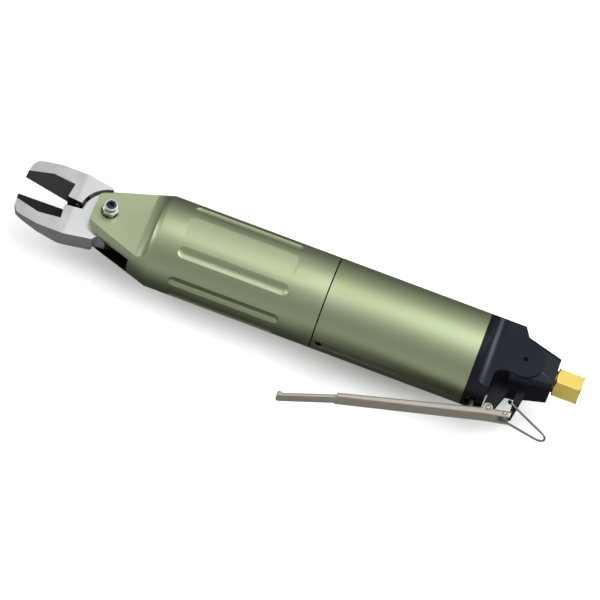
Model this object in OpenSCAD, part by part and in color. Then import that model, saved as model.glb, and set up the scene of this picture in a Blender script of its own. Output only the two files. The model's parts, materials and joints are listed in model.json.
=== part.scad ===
// Air nipper: a squeeze-lever hand tool. Air drives two pistons forward, and a wedge on their
// rod spreads the rear legs of two blades, which closes the jaws.
// X runs along the tool, with the jaws at -X and the air inlet at +X. The lever lies towards -Y.
// The origin is on the tool's axis, in the middle of the plain band where a bracket clamps it.

/* [Body] */
// Outer diameter of both body halves
body_d = 48; // [44:0.5:54]
// Length of the plain clamping band in front of the seam
band_len = 18.5; // [14:0.5:24]
// Length of the grip flutes
flute_len = 58.5; // [40:0.5:62]
// Plain length between the flutes and the nose cone
shoulder_len = 12; // [10:0.5:20]
// Length of the nose cone, up to the fork's front face
nose_len = 36; // [34:0.5:42]
// Diameter of the nose cone at the fork's front face
nose_d = 26; // [25:0.5:30]
// Length of the rear barrel
barrel_len = 80; // [76:0.5:95]
// Wall of both cylinders
wall_t = 4; // [3.5:0.25:5]
// Depth of a grip flute
flute_depth = 1.2; // [0.6:0.1:1.6]
// Depth of the two shallow flats between the flutes
flat_depth = 1; // [0.4:0.05:1.2]

/* [Fork] */
// Distance over the fork's two side flats
fork_w = 21; // [19:0.5:24]
// Length of the side flats
fork_flat_len = 33.5; // [30:0.5:35]
// Radius of the cutter that ends a side flat
flat_cutter_r = 6; // [4:0.5:8]
// Length of the slot for the blades
slot_len = 25.5; // [24:0.5:28]

/* [Blades] */
// Thickness of a blade
blade_t = 11; // [9:0.5:12]
// Distance of the pivot bolt behind the fork's front face
pivot_set = 8; // [7:0.5:9]
// Distance from the pivot to the jaw tips
jaw_len = 47; // [42:0.5:52]
// Length of the cutting edges
edge_len = 24; // [20:0.5:25]
// Half width of the closed blades at the hub
jaw_half_w = 16.5; // [15.5:0.5:18]
// Half width of the closed blades at the tips
tip_half_w = 12.5; // [10:0.5:13]
// Slant of the flush side towards the tips
flush_angle = 18; // [12:1:20]
// Width of the ground bevel along a cutting edge
bevel_w = 8.2; // [6:0.1:9]
// Slope of the ground bevel
bevel_angle = 23; // [20:0.5:28]
// Angle that each jaw stands open at rest
jaw_open = 6.3; // [4:0.1:7]
// Radius of a blade's hub
hub_r = 13; // [11:0.5:13]
// Distance from the pivot to the heel of a rear leg
leg_len = 32; // [30:0.5:34]
// Diameter of the pivot bolt
bolt_d = 5; // [4:0.5:6]

/* [Drive] */
// Stroke of the pistons
stroke = 14; // [10:0.5:15]
// Diameter of the piston rod
rod_d = 12; // [10:0.5:14]
// Thickness of a piston
piston_t = 10; // [8:0.5:12]
// Length of the centre bulkhead
bulkhead_len = 22; // [18:0.5:26]
// Wire diameter of the return spring
spring_wire = 2.2; // [1.6:0.1:2.6]
// Turns of the return spring
spring_turns = 6; // [4:1:7]

/* [Valve head] */
// Length of the valve head's round collar
collar_len = 11; // [9:0.5:13]
// Distance over the valve head's side flats
head_w = 26; // [24:0.5:30]
// Distance from the collar's front to the inlet boss's end face
head_len = 40.5; // [38:0.5:46]
// Offset of the air inlet from the tool's axis, away from the lever
inlet_offset = 3.5; // [2:0.5:5]
// Side of the inlet boss at its end face
boss_end = 18.5; // [17.5:0.5:20]
// Hexagon of the inlet bushing, across flats
hex_af = 14; // [13:0.5:17]
// Length of the inlet bushing's hexagon
hex_len = 13.2; // [11:0.2:16]
// Diameter of the inlet thread's bore
inlet_d = 8.6; // [8:0.1:9]
// Thickness of the rib that carries the lever
rib_t = 5; // [4:0.5:6]

/* [Lever] */
// Width of the lever's channel
lever_w = 8; // [7.5:0.5:9]
// Sheet thickness of the lever
sheet_t = 1.2; // [1:0.1:1.4]
// Length of the lever's grip channel in front of the pin
grip_len = 72; // [65:1:80]
// Length of the narrow tongue at the lever's tip
tongue_len = 28; // [20:1:32]
// Width of the tongue
tongue_w = 6; // [5:0.5:7]
// Slope of the grip channel at rest
grip_angle = 16; // [14:0.5:17]
// Extra slope of the tongue
tongue_bend = 5; // [0:0.5:8]
// Squeeze of the lever from rest to stop
lever_swing = 14; // [8:0.5:14]
// Diameter of the lock wire
wire_d = 1.2; // [1:0.1:1.4]

/* [Hidden] */
$fn = 96;

// Clearances and overruns
over = 1;
slide_gap = 0.05;
seat_gap = 0.02;
blade_gap = 0.3;
play = 0.2;

// Places along the axis
seam_x = band_len / 2;
flute_x = -band_len / 2 - flute_len;
cone_x = flute_x - shoulder_len;
fork_x = cone_x - nose_len;
pivot_x = fork_x + pivot_set;
slot_x = fork_x + slot_len;
barrel_end = seam_x + barrel_len;
boss_x = barrel_end + head_len;
body_r = body_d / 2;
bore_r = body_r - wall_t;
rod_r = rod_d / 2;

// Grip
flute_cutter_r = 5;
flute_angles = [33, 74, 106, 147];
seam_groove = 0.35;

// Blades
fork_corner = 7;
flat_corner = 3.5;
flat_edge_share = 0.95;
slot_half = blade_t / 2 + blade_gap;
edge_gap = 0.1;
hub_relief = 2.2;
edge_land = 0.2;
under_angle = 34;
edge_angle = atan(tan(flush_angle) / 2);
nose_r = 5.2;
nose_share = 0.3;
cheek_share = 0.91;
cheek_x_share = 0.42;
crease_share = 0.13;
heel_shares = [0.4, 0.94];
neck_shares = [0.15, 0.9];
arm_shares = [0.55, 0.62];
jaw_spring_lead = 4.5;
jaw_spring_set = hub_r + jaw_spring_lead;
jaw_spring_depth = 6;
jaw_spring_hole_r = 2.8;
jaw_spring_r = 1.4;
jaw_spring_wire = 0.6;
jaw_spring_turns = 7;
chamber_r = 14.5;
chamber_wall = 4;
front_bore_x = pivot_x + leg_len + chamber_r + over + stroke;
chamber_x = front_bore_x - chamber_wall;

// Drive: the wedge's flank follows from the leg's travel over the stroke
leg_travel = leg_len * sin(jaw_open);
wedge_slope = leg_travel / stroke;
wedge_tip_half = 1.5;
wedge_lead = 2.75;
heel_x = pivot_x + leg_len;
wedge_tip_x = heel_x - wedge_lead;
wedge_len = wedge_lead + stroke + rod_r / 2;
wedge_base_x = wedge_tip_x + wedge_len;
wedge_base_half = wedge_tip_half + wedge_len * wedge_slope;
wedge_t = blade_t - over;
heel_half = wedge_tip_half + wedge_lead * wedge_slope + leg_travel + 2 * play;
heel_r = 2.5;
leg_t = 6.5;
tenon_r = rod_r / 2;
stud_r = rod_r * 2 / 3;
tenon_len = 8;
wedge_pin_d = 2.5;
bulkhead_x = seam_x - bulkhead_len / 2;
front_piston_x = bulkhead_x - piston_t - over;
spigot_len = 8;
nut_t = 4;
nut_af = 17;
rear_piston_x = barrel_end - spigot_len - nut_t - over - piston_t;
rod_end_x = rear_piston_x + piston_t + nut_t;
spring_clear = 6;
spring_r = rod_r + spring_clear;
seal_d = 3;
seal_squeeze = 0.1;

// Pivot bolt, seen proud of both side flats
washer_t = 1;
bolt_nut_af = 8;
bolt_nut_t = 5.4;
crown_share = 0.45;
bolt_head_d = 9;
bolt_head_t = 3.2;
bolt_set = 0.3;
bolt_socket_d = 3.6;
bolt_socket_depth = 2.4;
nut_hex_share = 0.5;

// Valve head
block_low_y = -7.5;
head_step = 3;
head_shoulder = 18.5;
head_chamfer = 6.5;
head_back = 23;
block_fillet = 6;
pad_r = 10;
under_r = 5;
boss_root_w = 25;
boss_root_h = 27;
boss_edge = 3;
neck_len = 1;
neck_r = 5.6;
thread_len = 9;
screen_t = 1;
screen_ledge = 0.7;
screen_r = inlet_d / 2 - screen_ledge;
inlet_depth = 10;
hex_chamfer = 0.7;
port_r = 3;

// Lever, pin and rib
pin_set = 14;
pin_drop = 1.8;
pin_x = barrel_end + pin_set;
pin_y = -body_r - pin_drop;
pin_r = 1.25;
ear_r = 2.4;
ear_root_w = 9.5;
web_clear = 2.75;
web_drop = web_clear + sheet_t;
tail_len = 12;
tail_angle = 12.5;
tail_h = 3.4;
grip_h = 2.3;
pivot_pad_r = 2.6;
tongue_t = 1.6;
curl_r = 1.3;
ear_lean = -0.4;
tail_fork = 6.4;
post_set = 11.4;
post_x = pin_x + post_set;
post_w = 4;
post_lean = 0.6;
post_tip_r = 0.8;
post_rise = 0.4;
post_y = pin_y + post_rise;
arch_top_y = -10.5;

// Valve
stem_set = 5.75;
stem_x = barrel_end + stem_set;
stem_r = 1.8;
stem_tip = 0.1;
stem_y = pin_y - web_drop + sheet_t / cos(grip_angle) - (pin_x - stem_x) * tan(grip_angle) + stem_tip;
valve_bore_r = 4.2;
bush_len = 9;
bush_set = 2;
bush_y = -body_r + bush_set;
port_y = bush_y + bush_len * 2 / 3;
disc_r = 3.6;
disc_t = 2.5;
disc_y = bush_y + bush_len + play;
valve_ring_d = 1.2;
ring_y = bush_y + bush_len * 3 / 4;
cap_t = 10;
cap_set = 0.8;
cap_y = body_r - cap_t - cap_set;
valve_wire = 0.7;
valve_turns = 8;

// Lock wire
wire_r = wire_d / 2;
wire_pin_set = [8.6, 0.2];
wire_pin_x = pin_x + wire_pin_set[0];
wire_pin_y = pin_y + wire_pin_set[1];
wire_pin_r = 1;
wire_eye_r = wire_pin_r + slide_gap + wire_r;
wire_ball_r = 1.1;
wire_clear = 1.6;
wire_out_z = rib_t / 2 + wire_clear;
wire_reach = [19.3, -5.3];
wire_hook = [20.8, -2.9];
wire_turn = [4.9, -0.9];
wire_return = [3.6, -1.5];
wire_end = [0.9, 6.7];
wire_coil_z = wire_r + play;
wire_leave = -99.6;
wire_steps = 12;
bead_angles = [asin(wire_r / wire_ball_r), 60, 90, 120, 150, 170];

// Small fasteners
grub_d = 4;
grub_len = 3;
grub_set = 4;
grub_x = seam_x + grub_set;
spring_pin_d = 2.5;
spring_pin_set = 23.5;
spring_pin_x = barrel_end + spring_pin_set;
spring_pin_y = 2.3;
spring_pin_len = 6;

// Turns a shape that stands on Z so that it points along X, and moves it to x
module along_x(x = 0) {
  translate([x, 0, 0]) rotate([0, 90, 0]) children();
}

// The same towards +Y, at x and y
module along_y(x = 0, y = 0) {
  translate([x, y, 0]) rotate([-90, 0, 0]) children();
}

// A ring of round section around the X axis
module seal_ring(x, r, d) {
  along_x(x) rotate_extrude() translate([r, 0]) circle(d = d, $fn = 32);
}

// One unbroken tube through a list of rings of points, of triangles
module tube(rings) {
  sides = len(rings[0]);
  n = len(rings) - 1;
  last = n * sides;
  walls = [
    for (i = [0 : n - 1], j = [0 : sides - 1])
      let (k = (j + 1) % sides, a = i * sides, b = (i + 1) * sides)
      each [[a + j, b + j, b + k], [a + j, b + k, a + k]]
  ];
  caps = [for (j = [1 : sides - 2]) each [[0, j, j + 1], [last, last + j + 1, last + j]]];
  polyhedron([for (ring = rings) each ring], concat(walls, caps), convexity = 10);
}

// A coil spring along Z, from z = 0 to z = len
function coil_ring(a, h, r, wire, sides) = [
  for (i = [0 : sides - 1])
    let (b = 360 * i / sides)
    [(r + wire / 2 * cos(b)) * cos(a), (r + wire / 2 * cos(b)) * sin(a), h + wire / 2 * sin(b)]
];

module coil(len, r, wire, turns, sides = 6, steps = 16) {
  n = turns * steps;
  tube([for (i = [0 : n]) coil_ring(360 * i / steps, wire / 2 + (len - wire) * i / n, r, wire, sides)]);
}

// A wire of round section along a path
function unit(v) = v / norm(v);
function heading(path, i) = unit(path[min(i + 1, len(path) - 1)] - path[max(i - 1, 0)]);
function wire_ring(path, i, r, sides) =
  let (t = heading(path, i), a = unit(cross([0, 0, 1], t)), b = cross(a, t))
  [for (j = [0 : sides - 1]) path[i] + r * (a * cos(360 * j / sides) + b * sin(360 * j / sides))];

module wire(path, radii, sides = 10) {
  tube([for (i = [0 : len(path) - 1]) wire_ring(path, i, radii[i], sides)]);
}

// A point of a smooth bend between four points
function bend(p, t) =
  let (u = 1 - t)
  u * u * u * p[0] + 3 * u * u * t * p[1] + 3 * u * t * t * p[2] + t * t * t * p[3];

// A grip flute: the trace of a ball cutter, run along the body
module flute(angle) {
  depth_r = body_r - flute_depth + flute_cutter_r;
  run_in = sqrt(pow(flute_cutter_r, 2) - pow(flute_cutter_r - flute_depth, 2));
  rotate([angle, 0, 0]) translate([0, 0, depth_r]) {
    along_x(flute_x + run_in) cylinder(r = flute_cutter_r, h = flute_len - 2 * run_in, $fn = 48);
    for (x = [flute_x + run_in, flute_x + flute_len - run_in])
      translate([x, 0, 0]) sphere(r = flute_cutter_r, $fn = 48);
  }
}

// One side of the fork: the flat, and the radius that its cutter leaves at the end
module fork_flat_cut() {
  len = fork_flat_len - flat_cutter_r + over;
  translate([fork_x - over, -body_d, fork_w / 2]) cube([len, 2 * body_d, body_d]);
  translate([fork_x - over + len, 0, fork_w / 2 + flat_cutter_r]) {
    rotate([90, 0, 0]) cylinder(r = flat_cutter_r, h = 2 * body_d, center = true);
    translate([-over, -body_d, 0]) cube([flat_cutter_r + over, 2 * body_d, body_d]);
  }
}

module front_body() {
  color("#8a9a76") difference() {
    along_x(fork_x) rotate_extrude() polygon([
      [0, 0], [nose_d / 2, 0], [body_r, nose_len], [body_r, seam_x - fork_x - seam_groove],
      [body_r - seam_groove, seam_x - fork_x], [0, seam_x - fork_x]
    ]);
    for (side = [0, 180]) rotate([side, 0, 0]) fork_flat_cut();
    fork_round();
    translate([fork_x - over, -body_d, -slot_half]) cube([slot_len + over, 2 * body_d, 2 * slot_half]);
    translate([slot_x - over, -chamber_r, -slot_half])
      cube([chamber_x - slot_x - chamber_r + 2 * over, 2 * chamber_r, 2 * slot_half]);
    along_x(chamber_x - chamber_r) cylinder(r = chamber_r, h = chamber_r);
    along_x(wedge_base_x - stroke - over) cylinder(r = rod_r + over, h = chamber_x - wedge_base_x + stroke);
    along_x(chamber_x - over) cylinder(r = rod_r + slide_gap, h = chamber_wall + 2 * over);
    along_x(front_bore_x) cylinder(r = bore_r, h = seam_x - front_bore_x + over);
    translate([pivot_x, 0, 0]) cylinder(r = bolt_d / 2 + slide_gap, h = body_d, center = true);
    for (side = [1, -1], a = flute_angles) flute(side * a);
    for (side = [0, 180]) rotate([side, 0, 0]) grip_flat_cut();
  }
}

// One shallow flat between two flutes, with the corners that its cutter leaves
module grip_flat_cut() {
  r = flat_corner;
  half_w = flat_edge_share * sqrt(pow(body_r, 2) - pow(body_r - flat_depth, 2));
  translate([0, 0, body_r - flat_depth]) linear_extrude(height = body_r) hull()
    for (x = [flute_x + r, flute_x + flute_len - r], y = [half_w - r, r - half_w])
      translate([x, y]) circle(r = r, $fn = 48);
}

// Rounds the fork's corners, seen from the side
module fork_round() {
  r = fork_corner;
  for (side = [0, 180]) rotate([side, 0, 0]) translate([fork_x, nose_d / 2 + over, 0])
    linear_extrude(height = body_d, center = true) difference() {
      translate([-over, -r - over]) square([r + over, r + 2 * over]);
      translate([r, -r - over]) circle(r = r);
    }
}

module rear_body() {
  color("#93a37c") difference() {
    along_x(seam_x) rotate_extrude() polygon([
      [bore_r, 0], [body_r - seam_groove, 0], [body_r, seam_groove],
      [body_r, barrel_len], [bore_r, barrel_len]
    ]);
    along_y(grub_x, -body_r - over) cylinder(d = grub_d, h = body_r - bore_r + 2 * over, $fn = 48);
  }
}

module grub_screw() {
  color("#26282a") along_y(grub_x, -body_r + play) difference() {
    cylinder(d = grub_d - 2 * seat_gap, h = grub_len, $fn = 48);
    translate([0, 0, -over]) cylinder(d = grub_d / 2, h = grub_len / 2 + over, $fn = 6);
  }
}

module centre_bulkhead() {
  groove_r = bore_r - seal_d - seat_gap;
  color("#b9bcbf") along_x(bulkhead_x) difference() {
    cylinder(r = bore_r - seat_gap, h = bulkhead_len);
    translate([0, 0, -over]) cylinder(r = rod_r + slide_gap, h = bulkhead_len + 2 * over);
    for (z = [bulkhead_len / 4, bulkhead_len * 3 / 4]) translate([0, 0, z]) rotate_extrude()
      translate([groove_r, -seal_d / 2 - seal_squeeze]) square([seal_d + over, seal_d + 2 * seal_squeeze]);
    translate([0, 0, bulkhead_len / 2]) rotate_extrude() translate([0, -seal_d / 2 - seal_squeeze])
      square([rod_r + seal_d + slide_gap, seal_d + 2 * seal_squeeze]);
  }
}

module bulkhead_seals() {
  ring_r = bore_r - seal_d / 2 + seal_squeeze / 4 - 2 * seat_gap;
  color("#1b1b1c") for (x = [bulkhead_len / 4, bulkhead_len * 3 / 4])
    seal_ring(bulkhead_x + x, ring_r, seal_d - seal_squeeze);
}

module rod_seal() {
  ring_r = rod_r + seal_d / 2 + slide_gap;
  color("#1b1b1c") seal_ring(bulkhead_x + bulkhead_len / 2, ring_r, seal_d - seal_squeeze);
}

module pivot_bolt() {
  reach = fork_w / 2 + washer_t;
  color("#4c4f53") translate([pivot_x, 0, 0]) difference() {
    union() {
      translate([0, 0, -fork_w / 2 - bolt_head_t / 4])
        cylinder(d = bolt_d, h = reach + fork_w / 2 + bolt_head_t / 4 + bolt_nut_t - bolt_set);
      translate([0, 0, -fork_w / 2 - bolt_head_t]) cylinder(d = bolt_head_d, h = bolt_head_t);
    }
    translate([0, 0, -fork_w / 2 - bolt_head_t - over])
      cylinder(d = bolt_head_d / 2, h = bolt_head_t * 2 / 3 + over, $fn = 6);
    translate([0, 0, reach + bolt_nut_t - bolt_socket_depth])
      cylinder(d = bolt_socket_d, h = bolt_socket_depth, $fn = 6);
  }
}

module pivot_washer() {
  color("#a9adb1") translate([pivot_x, 0, fork_w / 2]) difference() {
    cylinder(d = bolt_nut_af + washer_t, h = washer_t);
    translate([0, 0, -over]) cylinder(r = bolt_d / 2 + slide_gap, h = washer_t + 2 * over);
  }
}

module pivot_nut() {
  crown_r = bolt_nut_af * crown_share;
  color("#6d7175") translate([pivot_x, 0, fork_w / 2 + washer_t]) difference() {
    union() {
      cylinder(d = bolt_nut_af / cos(30), h = bolt_nut_t * nut_hex_share, $fn = 6);
      cylinder(r = crown_r, h = bolt_nut_t);
    }
    translate([0, 0, -over]) cylinder(r = bolt_d / 2 + seat_gap, h = bolt_nut_t + 2 * over);
  }
}

// Outline of the upper blade with the jaws closed, seen from +Z, with the pivot at the origin
module jaw_outline() {
  tip = -jaw_len;
  root = tip + edge_len;
  cut = nose_r * nose_share;
  translate([0, edge_gap / 2]) polygon([
    [tip, 0], [tip, tip_half_w - nose_r], [tip + cut, tip_half_w - cut], [tip + nose_r, tip_half_w],
    [root - edge_len * cheek_x_share, jaw_half_w * cheek_share], [root + edge_len * crease_share, jaw_half_w],
    [-hub_r * heel_shares[0], jaw_half_w * heel_shares[1]], [-hub_r * neck_shares[0], hub_r * neck_shares[1]],
    [0, 0], [root, 0]
  ]);
}

// Outline of the rear leg with the jaws closed: a tapered arm that ends in a round heel
module leg_outline() {
  hull() {
    translate(hub_r * arm_shares) circle(r = heel_r, $fn = 32);
    translate([leg_len, heel_half + heel_r]) circle(r = heel_r, $fn = 32);
    translate([leg_len, heel_half + leg_t - heel_r]) circle(r = heel_r, $fn = 32);
  }
}

// The frame of the flush side: it slants from the edge's root towards the tip
module flush_frame() {
  translate([edge_len - jaw_len, 0, -blade_t / 2]) rotate([0, flush_angle, 0]) children();
}

// The frame of the cutting edge, in the middle of the tapered thickness
module edge_frame() {
  translate([edge_len - jaw_len, 0, 0]) rotate([0, edge_angle, 0]) children();
}

// What lies above a ground face that rises from the cutting edge
module above_bevel(slope) {
  reach = 2 * jaw_len;
  rise = reach * tan(slope);
  rotate([90, 0, -90]) linear_extrude(height = 2 * reach, center = true) polygon([
    [-edge_gap / 2, edge_land / 2], [-edge_gap / 2 - reach, rise], [reach, rise], [reach, edge_land / 2]
  ]);
}

// What is ground away: the flush side below the slanted plane, and both bevels of the cutting edge
module ground_away() {
  reach = 2 * jaw_len;
  start = edge_len - jaw_len - reach;
  flush_frame() translate([-reach, -reach, -reach]) cube([reach, 2 * reach, reach]);
  intersection() {
    edge_frame() above_bevel(bevel_angle);
    translate([start, -reach, -reach]) cube([reach, reach + bevel_w, 2 * reach]);
  }
  intersection() {
    edge_frame() mirror([0, 0, 1]) above_bevel(under_angle);
    translate([start, -reach, -reach]) cube([reach, 2 * reach, 2 * reach]);
  }
}

// The upper blade with the jaws closed. Its hub takes one half of the thickness: side is 1 for the near half.
module blade(side) {
  relief_r = hub_r + hub_relief;
  difference() {
    union() {
      difference() {
        union() {
          linear_extrude(height = blade_t, center = true) jaw_outline();
          linear_extrude(height = blade_t, center = true) leg_outline();
        }
        cylinder(r = relief_r, h = 2 * blade_t, center = true);
        ground_away();
      }
      intersection() {
        union() {
          cylinder(r = hub_r, h = blade_t, center = true);
          linear_extrude(height = blade_t, center = true) jaw_outline();
          linear_extrude(height = blade_t, center = true) leg_outline();
        }
        translate([0, 0, side * (blade_t / 4 + slide_gap / 2)])
          cylinder(r = relief_r + slide_gap, h = blade_t / 2 - slide_gap, center = true);
      }
    }
    cylinder(r = bolt_d / 2 + slide_gap, h = 2 * blade_t, center = true);
    along_y(-jaw_spring_set, -over) cylinder(r = jaw_spring_hole_r, h = jaw_spring_depth + over, $fn = 48);
  }
}

module upper_jaw() {
  color("#c9cacc") translate([pivot_x, 0, 0]) rotate([0, 0, -jaw_open]) blade(-1);
}

module lower_jaw() {
  color("#c2c3c6") translate([pivot_x, 0, 0]) rotate([0, 0, jaw_open]) mirror([0, 1, 0]) blade(1);
}

module jaw_spring() {
  floor_y = jaw_spring_set * sin(jaw_open) + jaw_spring_depth * cos(jaw_open);
  half = floor_y - jaw_spring_r * sin(jaw_open) - play;
  axis_x = pivot_x - jaw_spring_set * cos(jaw_open) + jaw_spring_depth * sin(jaw_open) / 2;
  color("#8e9194") along_y(axis_x, -half) coil(2 * half, jaw_spring_r, jaw_spring_wire, jaw_spring_turns);
}

module wedge() {
  color("#7b7f84") difference() {
    translate([wedge_tip_x, 0, 0]) linear_extrude(height = wedge_t, center = true) polygon([
      [0, -wedge_tip_half], [wedge_len, -wedge_base_half], [wedge_len, wedge_base_half], [0, wedge_tip_half]
    ]);
    along_x(wedge_base_x - tenon_len) cylinder(r = tenon_r + seat_gap, h = tenon_len + over);
    wedge_pin_bar(wedge_pin_d / 2 + seat_gap, 2 * wedge_t);
  }
}

module wedge_pin_bar(r, len) {
  translate([wedge_base_x - tenon_len / 2, 0, 0]) cylinder(r = r, h = len, center = true, $fn = 48);
}

module wedge_pin() {
  color("#55585c") wedge_pin_bar(wedge_pin_d / 2, wedge_t - play);
}

module piston_rod() {
  color("#a4a8ad") difference() {
    union() {
      along_x(wedge_base_x - tenon_len + play) cylinder(r = tenon_r, h = tenon_len);
      along_x(wedge_base_x) cylinder(r = rod_r, h = rear_piston_x - wedge_base_x);
      along_x(rear_piston_x - over) cylinder(r = stud_r, h = rod_end_x - rear_piston_x + over);
    }
    wedge_pin_bar(wedge_pin_d / 2 + seat_gap, 2 * wedge_t);
  }
}

// A piston with its seal groove, bored for the rod
module piston(x, hole_r) {
  along_x(x) difference() {
    cylinder(r = bore_r - 2 * slide_gap, h = piston_t);
    translate([0, 0, -over]) cylinder(r = hole_r, h = piston_t + 2 * over);
    translate([0, 0, piston_t / 2]) rotate_extrude() translate([bore_r - seal_d - slide_gap, -seal_d / 2])
      square([seal_d + over, seal_d]);
  }
}

module front_piston() {
  color("#b4b8bc") piston(front_piston_x, rod_r + seat_gap);
}

module rear_piston() {
  color("#b4b8bc") piston(rear_piston_x, stud_r + seat_gap);
}

module piston_seal(x) {
  color("#1b1b1c") seal_ring(x + piston_t / 2, bore_r - seal_d / 2 - slide_gap / 2, seal_d - seal_squeeze);
}

module front_piston_seal() {
  piston_seal(front_piston_x);
}

module rear_piston_seal() {
  piston_seal(rear_piston_x);
}

module rod_nut() {
  color("#6d7175") along_x(rear_piston_x + piston_t) difference() {
    cylinder(d = nut_af / cos(30), h = nut_t, $fn = 6);
    translate([0, 0, -over]) cylinder(r = stud_r + seat_gap, h = nut_t + 2 * over);
  }
}

module return_spring() {
  color("#8e9194") along_x(front_bore_x + seat_gap)
    coil(front_piston_x - front_bore_x - 2 * seat_gap, spring_r, spring_wire, spring_turns);
}

// One side flat of the valve head, with the wide fillet at its front
module head_flat_cut() {
  flat_x = barrel_end + head_step + block_fillet;
  translate([flat_x, -body_d, head_w / 2]) cube([head_len, 2 * body_d, body_d]);
  translate([flat_x, 0, head_w / 2 + block_fillet]) {
    rotate([90, 0, 0]) cylinder(r = block_fillet, h = 2 * body_d, center = true);
    translate([-block_fillet, -body_d, 0]) cube([block_fillet + over, 2 * body_d, body_d]);
  }
}

// The rib below the block: an ear for the lever pin, and behind the arch a post for the lock wire
module rib_outline() {
  hull() {
    translate([pin_x, pin_y]) circle(r = ear_r, $fn = 32);
    translate([pin_x - ear_r - ear_lean, arch_top_y]) square([ear_root_w, over]);
  }
  hull() {
    translate([post_x + post_tip_r, post_y + post_tip_r]) circle(r = post_tip_r, $fn = 32);
    translate([post_x - post_lean, arch_top_y]) square([post_w + post_lean, over]);
  }
  translate([barrel_end + collar_len - over, arch_top_y])
    square([post_x + post_w - barrel_end - collar_len + over, block_low_y - arch_top_y + over]);
}

// The space under the block, behind the collar, with the cutter's radius in its corner
module under_block() {
  translate([barrel_end + collar_len, block_low_y - body_d]) {
    square([head_len, body_d - under_r]);
    translate([under_r, 0]) square([head_len, body_d]);
    translate([under_r, body_d - under_r]) circle(r = under_r);
  }
}

// The inlet boss: a block that tapers to its end face
module inlet_boss() {
  hull() {
    translate([barrel_end + head_shoulder, inlet_offset, 0]) rounded_plate(boss_root_h, boss_root_w);
    translate([boss_x - over, inlet_offset, 0]) rounded_plate(boss_end, boss_end);
  }
}

// A thin plate across X with rounded corners
module rounded_plate(h, w) {
  rotate([90, 0, 90]) linear_extrude(height = over)
    for (y = [1, -1], z = [1, -1]) translate([y * (h / 2 - boss_edge), z * (w / 2 - boss_edge)])
      circle(r = boss_edge, $fn = 24);
}

module valve_head() {
  color("#2c2f33") difference() {
    union() {
      difference() {
        along_x(barrel_end) rotate_extrude() polygon([
          [0, 0], [body_r, 0], [body_r, head_shoulder], [body_r - head_chamfer, head_back], [0, head_back]
        ]);
        for (side = [0, 180]) rotate([side, 0, 0]) head_flat_cut();
        linear_extrude(height = 2 * body_d, center = true) under_block();
      }
      along_x(barrel_end - spigot_len) cylinder(r = bore_r - seat_gap, h = spigot_len + over);
      translate([spring_pin_x, spring_pin_y, 0]) cylinder(r = pad_r, h = head_w, center = true);
      inlet_boss();
      linear_extrude(height = rib_t, center = true) rib_outline();
    }
    along_x(barrel_end - spigot_len / 2) rotate_extrude()
      translate([bore_r - seal_d - seat_gap, -seal_d / 2 - seal_squeeze])
        square([seal_d + over, seal_d + 2 * seal_squeeze]);
    along_y(stem_x, -body_r - over) cylinder(r = valve_bore_r, h = body_d + 2 * over);
    translate([0, inlet_offset, 0]) {
      along_x(boss_x - thread_len) cylinder(r = neck_r, h = thread_len + over);
      along_x(stem_x) cylinder(r = port_r, h = boss_x - stem_x - thread_len / 2);
    }
    translate([0, port_y, 0]) along_x(barrel_end - spigot_len - over)
      cylinder(r = stem_r, h = stem_x - barrel_end + spigot_len + over, $fn = 48);
    translate([pin_x, pin_y, 0]) cylinder(r = pin_r + seat_gap, h = 2 * rib_t, center = true, $fn = 48);
    translate([spring_pin_x, spring_pin_y, head_w / 2 - spring_pin_len])
      cylinder(d = spring_pin_d, h = spring_pin_len + over, $fn = 48);
  }
}

module head_seal() {
  ring_r = bore_r - seal_d / 2 + seal_squeeze / 4 - 2 * seat_gap;
  color("#1b1b1c") seal_ring(barrel_end - spigot_len / 2, ring_r, seal_d - seal_squeeze);
}

module spring_pin() {
  color("#141516") translate([spring_pin_x, spring_pin_y, head_w / 2 - spring_pin_len])
    cylinder(d = spring_pin_d - 2 * seat_gap, h = spring_pin_len - play * 2, $fn = 48);
}

module inlet_bushing() {
  hex_x = boss_x + neck_len;
  hex_r = hex_af / 2 / cos(30);
  color("#d4b24a") translate([0, inlet_offset, 0]) difference() {
    union() {
      along_x(boss_x - thread_len + play) cylinder(r = neck_r - seat_gap, h = thread_len + neck_len);
      intersection() {
        along_x(hex_x) rotate([0, 0, 30]) cylinder(r = hex_r, h = hex_len, $fn = 6);
        along_x(hex_x) rotate_extrude() polygon([
          [0, 0], [hex_af / 2, 0], [hex_r, hex_chamfer], [hex_r, hex_len - hex_chamfer],
          [hex_af / 2, hex_len], [0, hex_len]
        ]);
      }
    }
    along_x(hex_x + hex_len - inlet_depth) cylinder(d = inlet_d, h = inlet_depth + over);
    along_x(hex_x + hex_len - inlet_depth - screen_t) cylinder(r = screen_r + seat_gap, h = screen_t + over);
    along_x(boss_x - thread_len)
      cylinder(r = screen_r * 3 / 4, h = thread_len + neck_len + hex_len - inlet_depth);
  }
}

module inlet_screen() {
  color("#b08d3c") translate([0, inlet_offset, 0])
    along_x(boss_x + neck_len + hex_len - inlet_depth - screen_t) cylinder(r = screen_r, h = screen_t);
}

module valve_bush() {
  color("#c8a23e") along_y(stem_x, bush_y) difference() {
    cylinder(r = valve_bore_r - seat_gap, h = bush_len);
    translate([0, 0, -over]) cylinder(r = stem_r + slide_gap, h = bush_len + 2 * over);
    translate([0, 0, bush_len / 3]) cylinder(r = stem_r + over, h = bush_len);
    translate([0, 0, port_y - bush_y]) rotate([0, -90, 0])
      cylinder(r = stem_r, h = 2 * valve_bore_r, $fn = 48);
  }
}

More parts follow.
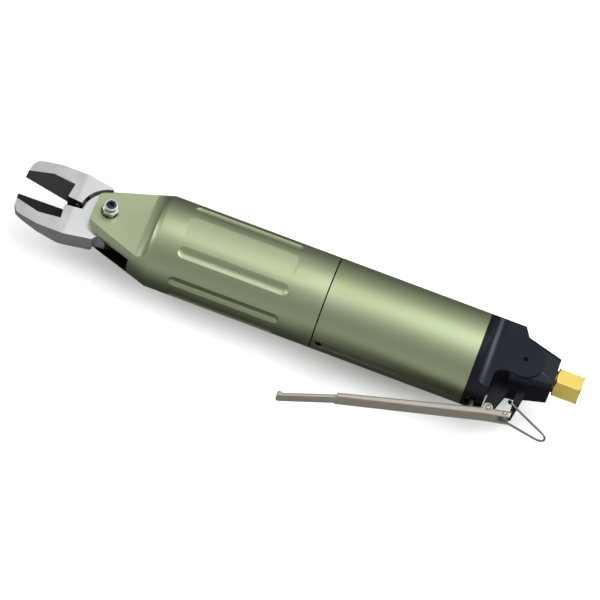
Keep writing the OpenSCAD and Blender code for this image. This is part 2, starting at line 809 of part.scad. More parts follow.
module valve_stem() {
  color("#9da1a5") along_y(stem_x, stem_y) difference() {
    union() {
      translate([0, 0, stem_r]) sphere(r = stem_r, $fn = 48);
      translate([0, 0, stem_r]) cylinder(r = stem_r, h = disc_y - stem_y - stem_r + disc_t / 2, $fn = 48);
      translate([0, 0, disc_y - stem_y]) cylinder(r = disc_r, h = disc_t, $fn = 48);
    }
    translate([0, 0, ring_y - stem_y]) rotate_extrude($fn = 48)
      translate([stem_r - valve_ring_d / 2, -valve_ring_d / 2]) square([valve_ring_d, valve_ring_d]);
  }
}

module valve_ring() {
  color("#1b1b1c") along_y(stem_x, ring_y) rotate_extrude($fn = 48)
    translate([stem_r + seat_gap, 0]) circle(d = valve_ring_d - seal_squeeze, $fn = 24);
}

module valve_spring() {
  spring_y = disc_y + disc_t + seat_gap;
  color("#8e9194") along_y(stem_x, spring_y)
    coil(cap_y - spring_y - seat_gap, disc_r - valve_wire, valve_wire, valve_turns);
}

module valve_cap() {
  color("#3a3d41") along_y(stem_x, cap_y) difference() {
    cylinder(r = valve_bore_r - seat_gap, h = cap_t);
    translate([0, 0, cap_t / 2]) cylinder(r = valve_bore_r / 2, h = cap_t, $fn = 6);
  }
}

module lever_pin() {
  color("#85898d") translate([pin_x, pin_y, 0])
    cylinder(r = pin_r, h = lever_w + play, center = true, $fn = 48);
}

// Side view of the lever's channel, with the pin at the origin. lift raises its floor and top its edge.
module channel_outline(lift, top) {
  tail_y = tail_len * tan(tail_angle);
  grip_y = -grip_len * tan(grip_angle);
  translate([0, lift - web_drop]) polygon([
    [tail_len, tail_y], [0, 0], [-grip_len, grip_y], [-grip_len, grip_y + grip_h + top],
    [-web_drop, tail_h + top - web_drop * tan(grip_angle)], [tail_len, tail_y + tail_h + top]
  ]);
}

module tongue() {
  translate([-grip_len, -web_drop - grip_len * tan(grip_angle)]) rotate(grip_angle + tongue_bend) {
    translate([-tongue_len, 0]) square([tongue_len + tongue_t, tongue_t]);
    translate([-tongue_len, curl_r]) circle(r = curl_r, $fn = 32);
  }
}

module lever() {
  inner = lever_w / 2 - sheet_t;
  color("#a9a393") translate([pin_x, pin_y, 0]) difference() {
    union() {
      linear_extrude(height = lever_w, center = true) {
        channel_outline(0, 0);
        circle(r = pivot_pad_r, $fn = 48);
      }
      linear_extrude(height = tongue_w, center = true) tongue();
    }
    intersection() {
      linear_extrude(height = 2 * inner, center = true) {
        channel_outline(sheet_t / cos(grip_angle), web_drop + ear_r);
      }
      translate([-grip_len + sheet_t, -body_d, -inner]) cube([grip_len + body_d, 2 * body_d, 2 * inner]);
    }
    translate([tail_len - tail_fork, -web_drop, -inner]) cube([body_d, 2 * web_drop, 2 * inner]);
    cylinder(r = pin_r + slide_gap, h = 2 * lever_w, center = true, $fn = 48);
    translate([wire_pin_x - pin_x, wire_pin_y - pin_y, 0])
      cylinder(r = wire_pin_r + seat_gap, h = 2 * lever_w, center = true, $fn = 48);
  }
}

module wire_pin() {
  color("#85898d") translate([wire_pin_x, wire_pin_y, 0])
    cylinder(r = wire_pin_r, h = lever_w - play, center = true, $fn = 48);
}

// The lock wire: an eye of one turn around its pin, a lower leg, a bend and an upper leg with a bead
module lock_wire() {
  eye = [for (i = [0 : 2 * wire_steps - 1]) let (turn = i / 2 / wire_steps, a = wire_leave + 360 * turn)
    [wire_eye_r * cos(a), wire_eye_r * sin(a), wire_coil_z * (1 - 2 * turn)]];
  hook_z = wire_out_z - wire_ball_r;
  hook = [
    [each wire_reach, -wire_coil_z], [each wire_reach + wire_turn, 0],
    [each wire_hook + wire_return, hook_z], [each wire_hook, hook_z]
  ];
  turns = [for (i = [0 : wire_steps]) bend(hook, i / wire_steps)];
  leave = [each wire_eye_r * [cos(wire_leave), sin(wire_leave)], -wire_coil_z];
  end = [each wire_end, wire_out_z];
  way = unit(end - turns[wire_steps]);
  bead = [for (a = bead_angles) end - way * wire_ball_r * cos(a)];
  path = concat(eye, [leave], turns, bead);
  first = len(path) - len(bead);
  radii = [for (i = [0 : len(path) - 1]) i < first ? wire_r : wire_ball_r * sin(bead_angles[i - first])];
  color("#9b9ea1") translate([wire_pin_x, wire_pin_y, 0]) wire(path, radii);
}

front_body();
rear_body();
centre_bulkhead();
bulkhead_seals();
rod_seal();
valve_head();
head_seal();
inlet_bushing();
inlet_screen();
grub_screw();
spring_pin();
pivot_bolt();
pivot_washer();
pivot_nut();
upper_jaw();
lower_jaw();
jaw_spring();
wedge();
wedge_pin();
piston_rod();
front_piston();
rear_piston();
front_piston_seal();
rear_piston_seal();
rod_nut();
return_spring();
valve_stem();
valve_ring();
valve_bush();
valve_spring();
valve_cap();
lever_pin();
lever();
wire_pin();
lock_wire();
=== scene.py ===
# Studio scene of an air nipper that lies on its side: sage anodised body, black valve head,
# ground steel blades, a pressed squeeze lever and a brass air bushing.
import json
import math

import bpy
from mathutils import Matrix, Vector


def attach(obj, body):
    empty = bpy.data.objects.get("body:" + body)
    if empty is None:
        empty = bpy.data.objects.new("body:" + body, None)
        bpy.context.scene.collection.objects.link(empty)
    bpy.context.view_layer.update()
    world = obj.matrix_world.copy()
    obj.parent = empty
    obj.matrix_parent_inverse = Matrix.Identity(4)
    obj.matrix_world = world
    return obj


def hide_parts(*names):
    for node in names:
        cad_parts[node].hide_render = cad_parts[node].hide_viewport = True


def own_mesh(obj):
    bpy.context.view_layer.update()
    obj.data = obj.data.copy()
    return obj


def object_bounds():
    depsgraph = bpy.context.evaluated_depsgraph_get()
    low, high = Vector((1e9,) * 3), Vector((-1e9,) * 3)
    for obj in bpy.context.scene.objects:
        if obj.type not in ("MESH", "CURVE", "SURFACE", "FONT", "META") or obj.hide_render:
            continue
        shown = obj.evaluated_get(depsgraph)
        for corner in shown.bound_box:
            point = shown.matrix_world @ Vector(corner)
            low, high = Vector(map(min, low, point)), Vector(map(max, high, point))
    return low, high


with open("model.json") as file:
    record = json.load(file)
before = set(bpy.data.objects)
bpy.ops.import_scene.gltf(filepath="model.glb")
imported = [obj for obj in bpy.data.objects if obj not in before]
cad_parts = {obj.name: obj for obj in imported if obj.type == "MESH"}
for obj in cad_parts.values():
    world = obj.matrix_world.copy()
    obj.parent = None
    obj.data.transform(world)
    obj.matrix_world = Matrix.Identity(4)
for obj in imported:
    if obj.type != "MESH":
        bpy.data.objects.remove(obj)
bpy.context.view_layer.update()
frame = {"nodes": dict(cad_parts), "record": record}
NODES = frame["nodes"]
MM = 0.001


def linear(hex_colour):
    """An sRGB hex value as linear red, green, blue and alpha."""
    channels = [int(hex_colour[i:i + 2], 16) / 255 for i in (1, 3, 5)]
    return tuple(c / 12.92 if c <= 0.04045 else ((c + 0.055) / 1.055) ** 2.4 for c in channels) + (1.0,)


def add(tree, kind, inputs=None, **settings):
    """Adds a node with its settings. An input is either another node's output or a plain value."""
    node = tree.nodes.new(kind)
    for key, value in settings.items():
        setattr(node, key, value)
    for key, value in (inputs or {}).items():
        if isinstance(value, bpy.types.NodeSocket):
            tree.links.new(value, node.inputs[key])
        else:
            node.inputs[key].default_value = value
    return node


def new_material(name):
    """An empty material, with its surface shader and the object's own coordinates in metres."""
    material = bpy.data.materials.new(name)
    material.use_nodes = True
    tree = material.node_tree
    tree.nodes.clear()
    shader = add(tree, "ShaderNodeBsdfPrincipled")
    add(tree, "ShaderNodeOutputMaterial", {"Surface": shader.outputs["BSDF"]})
    place = add(tree, "ShaderNodeTexCoord").outputs["Object"]
    return material, tree, shader, place


# The barrel in mm: its radius, and how far the middle of a flat strip may lie inside it. The facings are
# cosines between a face and the true round.
BARREL_R = 24
STRIP_SAG = 0.05
STRIP_FACING = 0.985
# The grip's flat: it lies behind this place, is level, and is shaded half as round as the barrel
GRIP_FRONT = -75
FLAT_FACING = 0.94
FLAT_LEVEL = 0.999
CROWN = 0.5


# Aluminium turned, blasted with fine beads and dyed in the anodising bath. The blasting gives a soft
# satin sheen that follows the round, and the dye a greyish sage with almost no change over the part.
def sage_anodised_aluminium():
    material, tree, shader, place = new_material("sage_anodised_aluminium")
    cloud = add(tree, "ShaderNodeTexNoise", {"Vector": place, "Scale": 1 / (45 * MM), "Detail": 3.0})
    tint = add(tree, "ShaderNodeMix", {0: cloud.outputs["Fac"], 6: linear("#8f9b74"), 7: linear("#97a37c")},
               data_type="RGBA")
    tree.links.new(tint.outputs[2], shader.inputs["Base Color"])
    # the blasted grain is drawn about twice as coarse as the real one, so that it shows
    grain = add(tree, "ShaderNodeTexNoise", {"Vector": place, "Scale": 1 / (0.3 * MM), "Detail": 2.0})
    gloss = add(tree, "ShaderNodeMapRange", {"Value": grain.outputs["Fac"], "To Min": 0.42, "To Max": 0.54})
    tree.links.new(gloss.outputs["Result"], shader.inputs["Roughness"])
    # the mesh is made of flat strips, so on the barrel itself the shading uses the true round
    parts = add(tree, "ShaderNodeSeparateXYZ", {"Vector": place})
    spoke = add(tree, "ShaderNodeCombineXYZ", {"Y": parts.outputs["Y"], "Z": parts.outputs["Z"]}).outputs[0]
    radius = add(tree, "ShaderNodeVectorMath", {0: spoke}, operation="LENGTH").outputs["Value"]
    outward = add(tree, "ShaderNodeVectorMath", {0: spoke}, operation="NORMALIZE").outputs["Vector"]
    surface = add(tree, "ShaderNodeNewGeometry").outputs
    facing = add(tree, "ShaderNodeVectorMath", {0: outward, 1: surface["True Normal"]},
                 operation="DOT_PRODUCT").outputs["Value"]
    outside = add(tree, "ShaderNodeMath", {0: radius, 1: (BARREL_R - STRIP_SAG) * MM},
                  operation="GREATER_THAN")
    strip = add(tree, "ShaderNodeMath", {0: facing, 1: STRIP_FACING}, operation="GREATER_THAN")
    barrel = add(tree, "ShaderNodeMath", {0: outside.outputs[0], 1: strip.outputs[0]}, operation="MULTIPLY")
    # the grip's flat reads almost round in the photo: its shading is half crowned, its mesh stays flat
    upward = add(tree, "ShaderNodeSeparateXYZ", {"Vector": surface["True Normal"]}).outputs["Z"]
    steep = add(tree, "ShaderNodeMath", {0: upward}, operation="ABSOLUTE")
    level = add(tree, "ShaderNodeMath", {0: steep.outputs[0], 1: FLAT_LEVEL}, operation="GREATER_THAN")
    shallow = add(tree, "ShaderNodeMath", {0: facing, 1: FLAT_FACING}, operation="GREATER_THAN")
    on_grip = add(tree, "ShaderNodeMath", {0: parts.outputs["X"], 1: GRIP_FRONT * MM},
                  operation="GREATER_THAN")
    on_flat = add(tree, "ShaderNodeMath", {0: level.outputs[0], 1: shallow.outputs[0]},
                  operation="MULTIPLY")
    flat = add(tree, "ShaderNodeMath", {0: on_flat.outputs[0], 1: on_grip.outputs[0]}, operation="MULTIPLY")
    crowned = add(tree, "ShaderNodeMath", {0: flat.outputs[0], 1: CROWN}, operation="MULTIPLY")
    rounded = add(tree, "ShaderNodeMath", {0: barrel.outputs[0], 1: crowned.outputs[0]},
                  operation="MAXIMUM")
    true_round = add(tree, "ShaderNodeMix", {0: rounded.outputs[0], 4: surface["Normal"], 5: outward},
                     data_type="VECTOR")
    blasted = add(tree, "ShaderNodeBump", {"Height": grain.outputs["Fac"], "Normal": true_round.outputs[1],
                                           "Strength": 0.1, "Distance": 0.02 * MM})
    tree.links.new(blasted.outputs["Normal"], shader.inputs["Normal"])
    shader.inputs["Metallic"].default_value = 1.0
    # the clear oxide over the dye whitens the highlight
    shader.inputs["Coat Weight"].default_value = 0.9
    shader.inputs["Coat Roughness"].default_value = 0.42
    shader.inputs["Coat IOR"].default_value = 1.8
    return material


# A machined casting, blasted and dyed black. The thin oxide keeps a soft grey sheen along the fillets.
def black_anodised_casting():
    material, tree, shader, place = new_material("black_anodised_casting")
    cloud = add(tree, "ShaderNodeTexNoise", {"Vector": place, "Scale": 1 / (14 * MM), "Detail": 3.0})
    tint = add(tree, "ShaderNodeMix", {0: cloud.outputs["Fac"], 6: linear("#090a0e"), 7: linear("#0e1014")},
               data_type="RGBA")
    tree.links.new(tint.outputs[2], shader.inputs["Base Color"])
    # this blasted grain is drawn about twice as coarse as the real one, too
    grit = add(tree, "ShaderNodeTexNoise", {"Vector": place, "Scale": 1 / (0.3 * MM), "Detail": 2.0})
    gloss = add(tree, "ShaderNodeMapRange", {"Value": grit.outputs["Fac"], "To Min": 0.32, "To Max": 0.42})
    tree.links.new(gloss.outputs["Result"], shader.inputs["Roughness"])
    blasted = add(tree, "ShaderNodeBump", {"Height": grit.outputs["Fac"], "Strength": 0.12,
                                           "Distance": 0.03 * MM})
    tree.links.new(blasted.outputs["Normal"], shader.inputs["Normal"])
    shader.inputs["Specular IOR Level"].default_value = 0.22
    shader.inputs["Specular Tint"].default_value = linear("#cbd5ea")
    return material


# Where the crease lies along X, and over what width
CREASE_X = -126.1
CREASE_W = 1.6


# Hardened blade steel, belt-ground across the blade: a pale satin face with fine lines along Y. In front of
# a thin crease the face is clouded and behind it evenly pale: that step in tone is painted shading for a
# bend of the face.
def ground_tool_steel():
    material, tree, shader, place = new_material("ground_tool_steel")
    along = add(tree, "ShaderNodeSeparateXYZ", {"Vector": place}).outputs["X"]
    behind = add(tree, "ShaderNodeMapRange", {"Value": along, "From Min": (CREASE_X - CREASE_W / 2) * MM,
                                              "From Max": (CREASE_X + CREASE_W / 2) * MM})
    cloud = add(tree, "ShaderNodeTexNoise", {"Vector": place, "Scale": 1 / (9 * MM), "Detail": 3.0})
    front = add(tree, "ShaderNodeMix",
                {0: cloud.outputs["Fac"], 6: linear("#a9a9ab"), 7: linear("#d2d2d3")}, data_type="RGBA")
    tint = add(tree, "ShaderNodeMix",
               {0: behind.outputs["Result"], 6: front.outputs[2], 7: linear("#d0d1d1")}, data_type="RGBA")
    tree.links.new(tint.outputs[2], shader.inputs["Base Color"])
    # the belt's lines are drawn about three times as coarse as the real ones, so that they show
    stretch = add(tree, "ShaderNodeMapping", {"Vector": place, "Scale": (1.0, 0.06, 1.0)})
    scratch = add(tree, "ShaderNodeTexNoise", {"Vector": stretch.outputs["Vector"], "Scale": 1 / (0.5 * MM),
                                               "Detail": 4.0})
    gloss = add(tree, "ShaderNodeMapRange", {"Value": scratch.outputs["Fac"], "To Min": 0.32,
                                             "To Max": 0.46})
    tree.links.new(gloss.outputs["Result"], shader.inputs["Roughness"])
    lines = add(tree, "ShaderNodeBump", {"Height": scratch.outputs["Fac"], "Strength": 0.25,
                                         "Distance": 0.03 * MM})
    crease = add(tree, "ShaderNodeBump", {"Height": behind.outputs["Result"],
                                          "Normal": lines.outputs["Normal"],
                                          "Strength": 0.3, "Distance": 0.12 * MM})
    tree.links.new(crease.outputs["Normal"], shader.inputs["Normal"])
    shader.inputs["Metallic"].default_value = 1.0
    return material


# The hollow behind each cutting edge, the blade's walls and its legs get painted shade and a painted dark
# reflection: near black, a little glossy.
def painted_shade_blade():
    material, tree, shader, place = new_material("painted_shade_blade")
    cloud = add(tree, "ShaderNodeTexNoise", {"Vector": place, "Scale": 1 / (6 * MM), "Detail": 4.0})
    tint = add(tree, "ShaderNodeMix", {0: cloud.outputs["Fac"], 6: linear("#1b1c1e"), 7: linear("#27292b")},
               data_type="RGBA")
    tree.links.new(tint.outputs[2], shader.inputs["Base Color"])
    shader.inputs["Metallic"].default_value = 0.6
    shader.inputs["Roughness"].default_value = 0.4
    return material


# Pressed steel sheet under satin nickel: warm grey, with faint drawing lines along its length.
def nickel_plated_sheet():
    material, tree, shader, place = new_material("nickel_plated_sheet")
    cloud = add(tree, "ShaderNodeTexNoise", {"Vector": place, "Scale": 1 / (20 * MM), "Detail": 3.0})
    tint = add(tree, "ShaderNodeMix", {0: cloud.outputs["Fac"], 6: linear("#858076"), 7: linear("#979288")},
               data_type="RGBA")
    tree.links.new(tint.outputs[2], shader.inputs["Base Color"])
    stretch = add(tree, "ShaderNodeMapping", {"Vector": place, "Scale": (0.05, 1.0, 1.0)})
    # the drawing lines are drawn about three times as coarse as the real ones, so that they show
    drawn = add(tree, "ShaderNodeTexNoise", {"Vector": stretch.outputs["Vector"], "Scale": 1 / (0.6 * MM),
                                             "Detail": 3.0})
    gloss = add(tree, "ShaderNodeMapRange", {"Value": drawn.outputs["Fac"], "To Min": 0.3, "To Max": 0.42})
    tree.links.new(gloss.outputs["Result"], shader.inputs["Roughness"])
    # the press tool rounds each bend over about the sheet's thickness
    bends = add(tree, "ShaderNodeBevel", {"Radius": 1.4 * MM}, samples=8)
    lines = add(tree, "ShaderNodeBump", {"Height": drawn.outputs["Fac"], "Normal": bends.outputs["Normal"],
                                         "Strength": 0.08, "Distance": 0.03 * MM})
    tree.links.new(lines.outputs["Normal"], shader.inputs["Normal"])
    shader.inputs["Metallic"].default_value = 0.6
    return material


def plain_metal(name, dark, light, grain_mm, rough, bare=1.0):
    """A finished metal: slight cloud in its colour, fine grain in its gloss, bare or under a dull film."""
    material, tree, shader, place = new_material(name)
    cloud = add(tree, "ShaderNodeTexNoise", {"Vector": place, "Scale": 1 / (5 * MM), "Detail": 3.0})
    tint = add(tree, "ShaderNodeMix", {0: cloud.outputs["Fac"], 6: linear(dark), 7: linear(light)},
               data_type="RGBA")
    tree.links.new(tint.outputs[2], shader.inputs["Base Color"])
    grain = add(tree, "ShaderNodeTexNoise", {"Vector": place, "Scale": 1 / (grain_mm * MM), "Detail": 2.0})
    gloss = add(tree, "ShaderNodeMapRange", {"Value": grain.outputs["Fac"], "To Min": rough - 0.06,
                                             "To Max": rough + 0.06})
    tree.links.new(gloss.outputs["Result"], shader.inputs["Roughness"])
    bump = add(tree, "ShaderNodeBump", {"Height": grain.outputs["Fac"], "Strength": 0.08,
                                        "Distance": 0.02 * MM})
    tree.links.new(bump.outputs["Normal"], shader.inputs["Normal"])
    shader.inputs["Metallic"].default_value = bare
    return material


# Moulded nitrile rubber: nearly black and matt.
def seal_rubber():
    material, tree, shader, place = new_material("seal_rubber")
    shader.inputs["Base Color"].default_value = linear("#19191a")
    bloom = add(tree, "ShaderNodeTexNoise", {"Vector": place, "Scale": 1 / (2 * MM), "Detail": 3.0})
    gloss = add(tree, "ShaderNodeMapRange", {"Value": bloom.outputs["Fac"], "To Min": 0.55, "To Max": 0.7})
    tree.links.new(gloss.outputs["Result"], shader.inputs["Roughness"])
    return material


# A finish for each material slot. A plain metal's values are its two colours, its grain in mm and its
# roughness. The grains are drawn coarser than the real ones, so that they show.
FINISHES = {
    "sage_anodised": sage_anodised_aluminium(),
    "black_anodised": black_anodised_casting(),
    "tool_steel": ground_tool_steel(),
    # steel left dark by its oil bath: dull grey screws and pins
    "dark_steel": plain_metal("oiled_steel", "#3a3c3f", "#4a4c50", 0.4, 0.36),
    "nickel_steel": nickel_plated_sheet(),
    # wire drawn through a die: mid grey, fairly bright along its length
    "spring_steel": plain_metal("drawn_spring_wire", "#6f7174", "#828487", 0.5, 0.3),
    # aluminium fresh from the lathe: pale and satin
    "bare_aluminium": plain_metal("turned_aluminium", "#a5a8ab", "#b7babd", 0.4, 0.34),
    # brass bar turned and left bare: a warm yellow with sharp bright faces
    "brass": plain_metal("turned_brass", "#c6b056", "#d2bd68", 0.4, 0.3),
    "seal_rubber": seal_rubber(),
}
BLADE_PAINTED_SHADE = painted_shade_blade()
# the milled outer edge of a blade gets painted shade: mid grey
BLADE_EDGE_PAINTED_SHADE = plain_metal("painted_shade_blade_edge", "#606062", "#727274", 0.5, 0.42, 0.4)
# near black, for the spring pin and the lock wire's bead: painted shade
BLACK_PAINTED_SHADE = plain_metal("painted_shade_black", "#08080a", "#0e0e10", 0.4, 0.5)
# steel in bright zinc: pale and clear in its reflections
ZINC_PLATE = plain_metal("zinc_plated_steel", "#b4b5b7", "#c4c5c7", 0.4, 0.24)
# painted shade for the fork's slot and the seam groove: dark olive
SLOT_PAINTED_SHADE = plain_metal("painted_shade_slot", "#23261f", "#2e3228", 0.6, 0.4)
# Pieces that don't look like their slot: the pins' ends were plated with the lever, the nut is zinc plated,
# the valve stem is dark and the spring pin gets near-black painted shade
OWN_FINISH = {"lever_pin": FINISHES["nickel_steel"], "wire_pin": FINISHES["nickel_steel"],
              "pivot_nut": ZINC_PLATE, "valve_stem": FINISHES["dark_steel"], "spring_pin": BLACK_PAINTED_SHADE}

# The loaded triangles are joined within this distance in mm
WELD = 0.002
# Edge breaks in mm. Very short edges clamp some of them to almost nothing. The rear body has none, because
# the bevel folds over at its grub hole.
EDGE_BREAK = {"front_body": 0.5, "valve_head": 0.9, "lever": 0.35, "upper_jaw": 0.18, "lower_jaw": 0.18,
              "inlet_bushing": 0.2, "pivot_nut": 0.2, "pivot_bolt": 0.2}
SHARP = math.radians(28)

for subpart in frame["record"]["subparts"]:
    node = NODES[subpart["node"]]
    node.data.materials.clear()
    node.data.materials.append(OWN_FINISH.get(node.name, FINISHES[subpart["material_slot"]]))
    weld = node.modifiers.new("weld", "WELD")
    weld.merge_threshold = WELD * MM
    if node.name in EDGE_BREAK:
        edge = node.modifiers.new("edge_break", "BEVEL")
        edge.width = EDGE_BREAK[node.name] * MM
        edge.segments = 2
        edge.limit_method = "ANGLE"
        edge.angle_limit = SHARP
        edge.use_clamp_overlap = True

# A blade's legs, walls and bevels get near-black painted shade, and its outer edges mid-grey painted shade.
# Places are in mm, and a face counts as a wall or as level by the Z of its normal.
LEG_X = -100
HUB_X = -105
BEVEL_X = -120
OUTER_Y = 8
WALL_Z = 0.35
LEVEL_Z = 0.97
SHADED_FACE, SHADED_EDGE = 1, 2

for name in ("upper_jaw", "lower_jaw"):
    blade = NODES[name].data
    blade.materials.append(BLADE_PAINTED_SHADE)
    blade.materials.append(BLADE_EDGE_PAINTED_SHADE)
    for face in blade.polygons:
        leg = face.center.x > LEG_X * MM
        wall = abs(face.normal.z) < WALL_Z
        bevel = face.center.x < BEVEL_X * MM and WALL_Z <= face.normal.z < LEVEL_Z
        outer = wall and face.center.x < HUB_X * MM and abs(face.center.y) > OUTER_Y * MM
        if leg or wall or bevel:
            face.material_index = SHADED_EDGE if outer else SHADED_FACE

# The fork's slot and the groove where the two halves of the body meet get painted shade: places in mm
SEAM_X = 9.25
SEAM_HALF = 0.6
SLOT_X = -88
SLOT_HALF = 7
for name in ("front_body", "rear_body"):
    body = NODES[name].data
    body.materials.append(SLOT_PAINTED_SHADE)
    for face in body.polygons:
        across = abs(face.normal.z) > 0.9 and abs(face.center.z) < SLOT_HALF * MM
        slot = face.center.x < SLOT_X * MM and across
        seam = abs(face.center.x - SEAM_X * MM) < SEAM_HALF * MM and abs(face.normal.x) > 0.3
        if slot or seam:
            face.material_index = 1


def new_piece(name, mesh, material, body, slot, *replaced):
    """Links a mesh as a piece that rides on a body and stands for the CAD nodes that it replaces."""
    for face in mesh.polygons:
        face.use_smooth = True
    if material:
        mesh.materials.append(material)
    piece = bpy.data.objects.new(name, mesh)
    bpy.context.scene.collection.objects.link(piece)
    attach(piece, body)
    if replaced:
        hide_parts(*replaced)
    return piece


def tube_mesh(name, path, radii, sides):
    """A round tube along a path of points, with its own radius at each and closed ends."""
    path = [Vector(p) for p in path]
    ahead = [(path[min(i + 1, len(path) - 1)] - path[max(i - 1, 0)]).normalized() for i in range(len(path))]
    across = ahead[0].orthogonal().normalized()
    corners, faces = [], []
    for i, (point, way, radius) in enumerate(zip(path, ahead, radii)):
        across = (across - way * across.dot(way)).normalized()
        other = way.cross(across)
        for k in range(sides):
            turn = 2 * math.pi * k / sides
            corners.append(point + (across * math.cos(turn) + other * math.sin(turn)) * radius)
        if i:
            first = (i - 1) * sides
            for k in range(sides):
                after = (k + 1) % sides
                faces.append((first + k, first + after, first + sides + after, first + sides + k))
    faces.append(tuple(reversed(range(sides))))
    faces.append(tuple(range((len(path) - 1) * sides, len(path) * sides)))
    mesh = bpy.data.meshes.new(name)
    mesh.from_pydata(corners, [], faces)
    return mesh


# The lock wire: an eye round its pin, a long leg, a bend and the return leg with a bead on its end
WIRE_PIN = Vector((111.85, -25.6, 0))
WIRE_R = 0.6
EYE_R = 1.65
COIL_Z = 0.8
LEAVE = math.radians(-99.6)
BEND = [Vector(p) for p in ((19.3, -5.3, -0.8), (24.2, -6.2, 0.0), (24.4, -4.4, 3.0), (20.8, -2.9, 3.0))]
WIRE_END = Vector((0.9, 6.7, 4.1))
BEAD_R = 1.1
BEAD_CLOSE = math.radians(176)
EYE_STEPS, LEG_STEPS, BEND_STEPS, BEAD_STEPS, WIRE_SIDES = 40, 8, 16, 10, 16


def bent_lock_wire():
    path = []
    for k in range(EYE_STEPS + 1):
        share = k / EYE_STEPS
        turn = LEAVE + 2 * math.pi * (share - 1)
        path.append(Vector((EYE_R * math.cos(turn), EYE_R * math.sin(turn), COIL_Z * (1 - 2 * share))))
    eye_end = path[-1]
    path += [eye_end.lerp(BEND[0], k / LEG_STEPS) for k in range(1, LEG_STEPS)]
    for k in range(BEND_STEPS + 1):
        t = k / BEND_STEPS
        path.append(BEND[0] * (1 - t) ** 3 + BEND[1] * 3 * t * (1 - t) ** 2
                    + BEND[2] * 3 * t * t * (1 - t) + BEND[3] * t ** 3)
    path += [BEND[3].lerp(WIRE_END, k / LEG_STEPS) for k in range(1, LEG_STEPS)]
    radii = [WIRE_R] * len(path)
    way = (WIRE_END - BEND[3]).normalized()
    start = math.asin(WIRE_R / BEAD_R)
    for k in range(BEAD_STEPS + 1):
        angle = start + (BEAD_CLOSE - start) * k / BEAD_STEPS
        path.append(WIRE_END - way * BEAD_R * math.cos(angle))
        radii.append(BEAD_R * math.sin(angle))
    mesh = tube_mesh("bent_lock_wire", [(WIRE_PIN + p) * MM for p in path], [r * MM for r in radii],
                     WIRE_SIDES)
    # the bead gets near-black painted shade
    mesh.materials.append(FINISHES["spring_steel"])
    mesh.materials.append(BLACK_PAINTED_SHADE)
    for face in mesh.polygons:
        face.material_index = int((face.center - (WIRE_PIN + WIRE_END) * MM).length < 1.1 * BEAD_R * MM)
    return new_piece("bent_lock_wire", mesh, None, "safety_wire", "spring_steel", "lock_wire")


# The thread in the air inlet, drawn a little coarser than the real one so that its turns show
INLET_Y = 3.5
INLET_X = 143.4
INLET_R = 4.3
THREAD_PITCH = 1.0
THREAD_TURNS = 8
THREAD_H = 0.35
THREAD_FLANK = 0.4
THREAD_STEPS = 48


def inlet_thread():
    corners, faces = [], []
    profile = ((-THREAD_FLANK, INLET_R), (0.0, INLET_R - THREAD_H), (THREAD_FLANK, INLET_R))
    for k in range(THREAD_STEPS * THREAD_TURNS + 1):
        turn = 2 * math.pi * k / THREAD_STEPS
        x = INLET_X - THREAD_PITCH * k / THREAD_STEPS
        for shift, radius in profile:
            corners.append(((x + shift * THREAD_PITCH) * MM, (INLET_Y + radius * math.cos(turn)) * MM,
                            radius * math.sin(turn) * MM))
        if k:
            a = 3 * (k - 1)
            faces += [(a, a + 1, a + 4, a + 3), (a + 1, a + 2, a + 5, a + 4)]
    mesh = bpy.data.meshes.new("inlet_thread")
    mesh.from_pydata(corners, [], faces)
    return new_piece("inlet_thread", mesh, FINISHES["brass"], "housing", "brass")


# The toothed lock washer under the pivot nut: each tooth is twisted out of the ring
PIVOT_X = -107.75
WASHER_Z = 10.5
WASHER_T = 1.0
WASHER_BORE_R = 2.65
TEETH = 14


def toothed_washer():
    corners, faces = [], []
    pitch = 2 * math.pi / TEETH
    # one tooth and its gap: share of the pitch, outer radius, lift of the rim's lower and upper edge
    rim = ((0.0, 3.75, 0.2, 0.8), (0.14, 4.6, 0.0, 0.5), (0.58, 4.6, 0.5, 1.0), (0.72, 3.75, 0.2, 0.8))
    for tooth in range(TEETH):
        for share, radius, low, high in rim:
            turn = (tooth + share) * pitch
            way = Vector((math.cos(turn), math.sin(turn), 0))
            for r, z in ((WASHER_BORE_R, 0.2), (WASHER_BORE_R, 0.8), (radius, high), (radius, low)):
                corners.append(((way * r) + Vector((PIVOT_X, 0, WASHER_Z + z * WASHER_T))) * MM)
    count = len(corners) // 4
    for i in range(count):
        j = (i + 1) % count
        for k in range(4):
            faces.append((4 * i + k, 4 * j + k, 4 * j + (k + 1) % 4, 4 * i + (k + 1) % 4))
    mesh = bpy.data.meshes.new("toothed_washer")
    mesh.from_pydata(corners, [], faces)
    piece = new_piece("toothed_washer", mesh, FINISHES["dark_steel"], "housing", "dark_steel",
                      "pivot_washer")
    for face in mesh.polygons:
        face.use_smooth = False
    return piece


# Each spring between its two seats, with the joint that moves it: node, joint, axis, fixed end, share kept
SPRINGS = {
    "return_coil": ("return_spring", "piston_slide", (1, 0, 0), (-46.08, 0, 0), 0.578),
    "valve_coil": ("valve_spring", "lever_pivot", (0, 1, 0), (95, 13.13, 0), 0.905),
    "jaw_coil": ("jaw_spring", "piston_slide", (0, 1, 0), (-124.82, 0, 0), 0.745),
}


def seated_springs():
    for name, (node, joint, axis, fixed_end, kept) in SPRINGS.items():
        coil = new_piece(name, NODES[node].data.copy(), None, "housing", "spring_steel", node)
        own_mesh(coil)


bent_lock_wire()
inlet_thread()
toothed_washer()
seated_springs()


FLOOR_SIZE = 6.0


def lay_floor():
    low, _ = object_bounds()
    bpy.ops.mesh.primitive_plane_add(size=FLOOR_SIZE, location=(0, 0, low.z))
    floor = bpy.context.object
    floor.name = "floor"
    material, _, shader, _ = new_material("pale_paper")
    shader.inputs["Base Color"].default_value = linear("#f7f7f7")
    shader.inputs["Roughness"].default_value = 0.9
    floor.data.materials.append(material)
    # polished faces reflect the dim room below them, as on a light table, and not the paper
    floor.visible_glossy = False


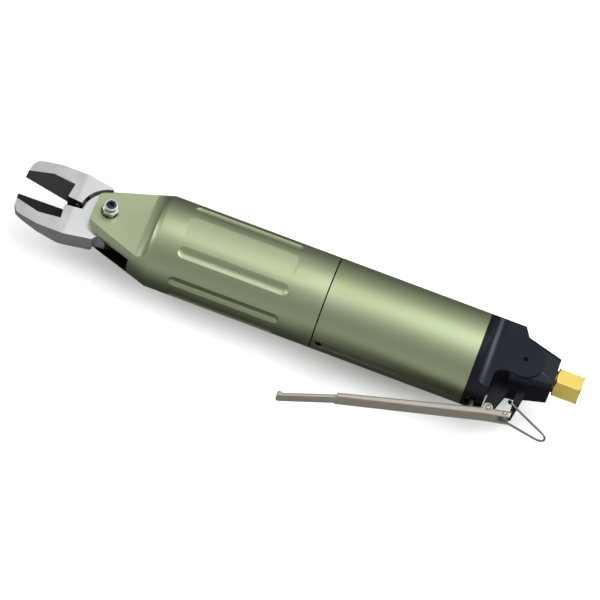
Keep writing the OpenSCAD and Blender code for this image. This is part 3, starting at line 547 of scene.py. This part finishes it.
# Each soft box: place, target and size in metres, power in watts. The fill stands for light off the paper,
# so no polished face mirrors it.
SOFTBOXES = {
    "box_above": ((0.07, 0.1, 0.62), (0.04, 0, 0), (0.55, 0.5), 1.62),
    "box_at_jaws": ((-1.15, -0.1, 0.75), (0, 0, 0), (0.6, 0.6), 6.0),
    "box_at_inlet": ((1.15, -0.1, 0.75), (0, 0, 0), (0.6, 0.6), 6.0),
    "box_behind_inlet": ((0.67, 0.45, 0.52), (0.09, 0, 0), (0.22, 0.5), 6.5),
    "paper_fill": ((0.0, -1.2, 0.6), (0, 0, 0), (1.2, 0.8), 13.0),
}


def add_softbox(name, place, target, size, power):
    light = bpy.data.lights.new(name, "AREA")
    light.shape = "RECTANGLE"
    light.size, light.size_y = size
    light.energy = power
    lamp = bpy.data.objects.new(name, light)
    bpy.context.scene.collection.objects.link(lamp)
    lamp.location = place
    lamp.rotation_euler = (Vector(target) - Vector(place)).to_track_quat("-Z", "Y").to_euler()
    lamp.visible_glossy = name != "paper_fill"


def light_studio():
    """A dim room that brightens overhead, and the soft boxes."""
    world = bpy.data.worlds.new("studio")
    bpy.context.scene.world = world
    world.use_nodes = True
    tree = world.node_tree
    way = add(tree, "ShaderNodeTexCoord").outputs["Generated"]
    parts = add(tree, "ShaderNodeSeparateXYZ", {"Vector": way})
    height = parts.outputs["Z"]
    glow = add(tree, "ShaderNodeMapRange", {"Value": height, "From Min": -0.2, "From Max": 0.9,
                                            "To Min": 0.05, "To Max": 0.66})
    # a paler strip of wall stands in front, about level with the tool
    toward = add(tree, "ShaderNodeMapRange", {"Value": parts.outputs["Y"], "From Min": 0.0,
                                              "From Max": -0.9})
    level = add(tree, "ShaderNodeMath", {0: height, 1: 0.12}, operation="ADD")
    away = add(tree, "ShaderNodeMath", {0: level.outputs[0]}, operation="ABSOLUTE")
    band = add(tree, "ShaderNodeMapRange", {"Value": away.outputs[0], "From Min": 0.05, "From Max": 0.45,
                                            "To Min": 0.95, "To Max": 0.0})
    front = add(tree, "ShaderNodeMath", {0: toward.outputs["Result"], 1: band.outputs["Result"]},
                operation="MULTIPLY")
    light = add(tree, "ShaderNodeMath", {0: glow.outputs["Result"], 1: front.outputs[0]}, operation="ADD")
    background = tree.nodes["Background"]
    background.inputs["Color"].default_value = linear("#f6f6f5")
    tree.links.new(light.outputs[0], background.inputs["Strength"])
    for name, values in SOFTBOXES.items():
        add_softbox(name, *values)


# The photo's view: its roll, its distance and width at the tool in metres, and its turn towards the inlet
ROLL = math.radians(20.45)
DISTANCE = 1.9
FRAME_WIDTH = 0.301
REAR_SHIFT = math.radians(2.5)
# its lean from straight above, and the middle of the picture in mm along the tool and up the picture
LEAN = math.radians(30)
AIM = (-3.4, -3.25)


def place_camera():
    up_image = Vector((0, math.cos(LEAN), math.sin(LEAN)))
    toward = Vector((0, -math.sin(LEAN), math.cos(LEAN)))
    target = Vector((AIM[0] * MM, 0, 0)) + up_image * AIM[1] * MM
    back = (toward * math.cos(REAR_SHIFT) + Vector((math.sin(REAR_SHIFT), 0, 0))).normalized()
    right = Vector((math.cos(ROLL), 0, 0)) + up_image * math.sin(ROLL)
    right = (right - back * right.dot(back)).normalized()
    up = back.cross(right)
    camera = bpy.data.cameras.new("camera")
    camera.sensor_fit = "HORIZONTAL"
    camera.angle = 2 * math.atan(FRAME_WIDTH / 2 / DISTANCE)
    holder = bpy.data.objects.new("camera", camera)
    bpy.context.scene.collection.objects.link(holder)
    turn = Matrix((right, up, back)).transposed().to_4x4()
    holder.matrix_world = Matrix.Translation(target + back * DISTANCE) @ turn
    bpy.context.scene.camera = holder


lay_floor()
light_studio()
place_camera()
bpy.context.scene.view_settings.view_transform = "Standard"
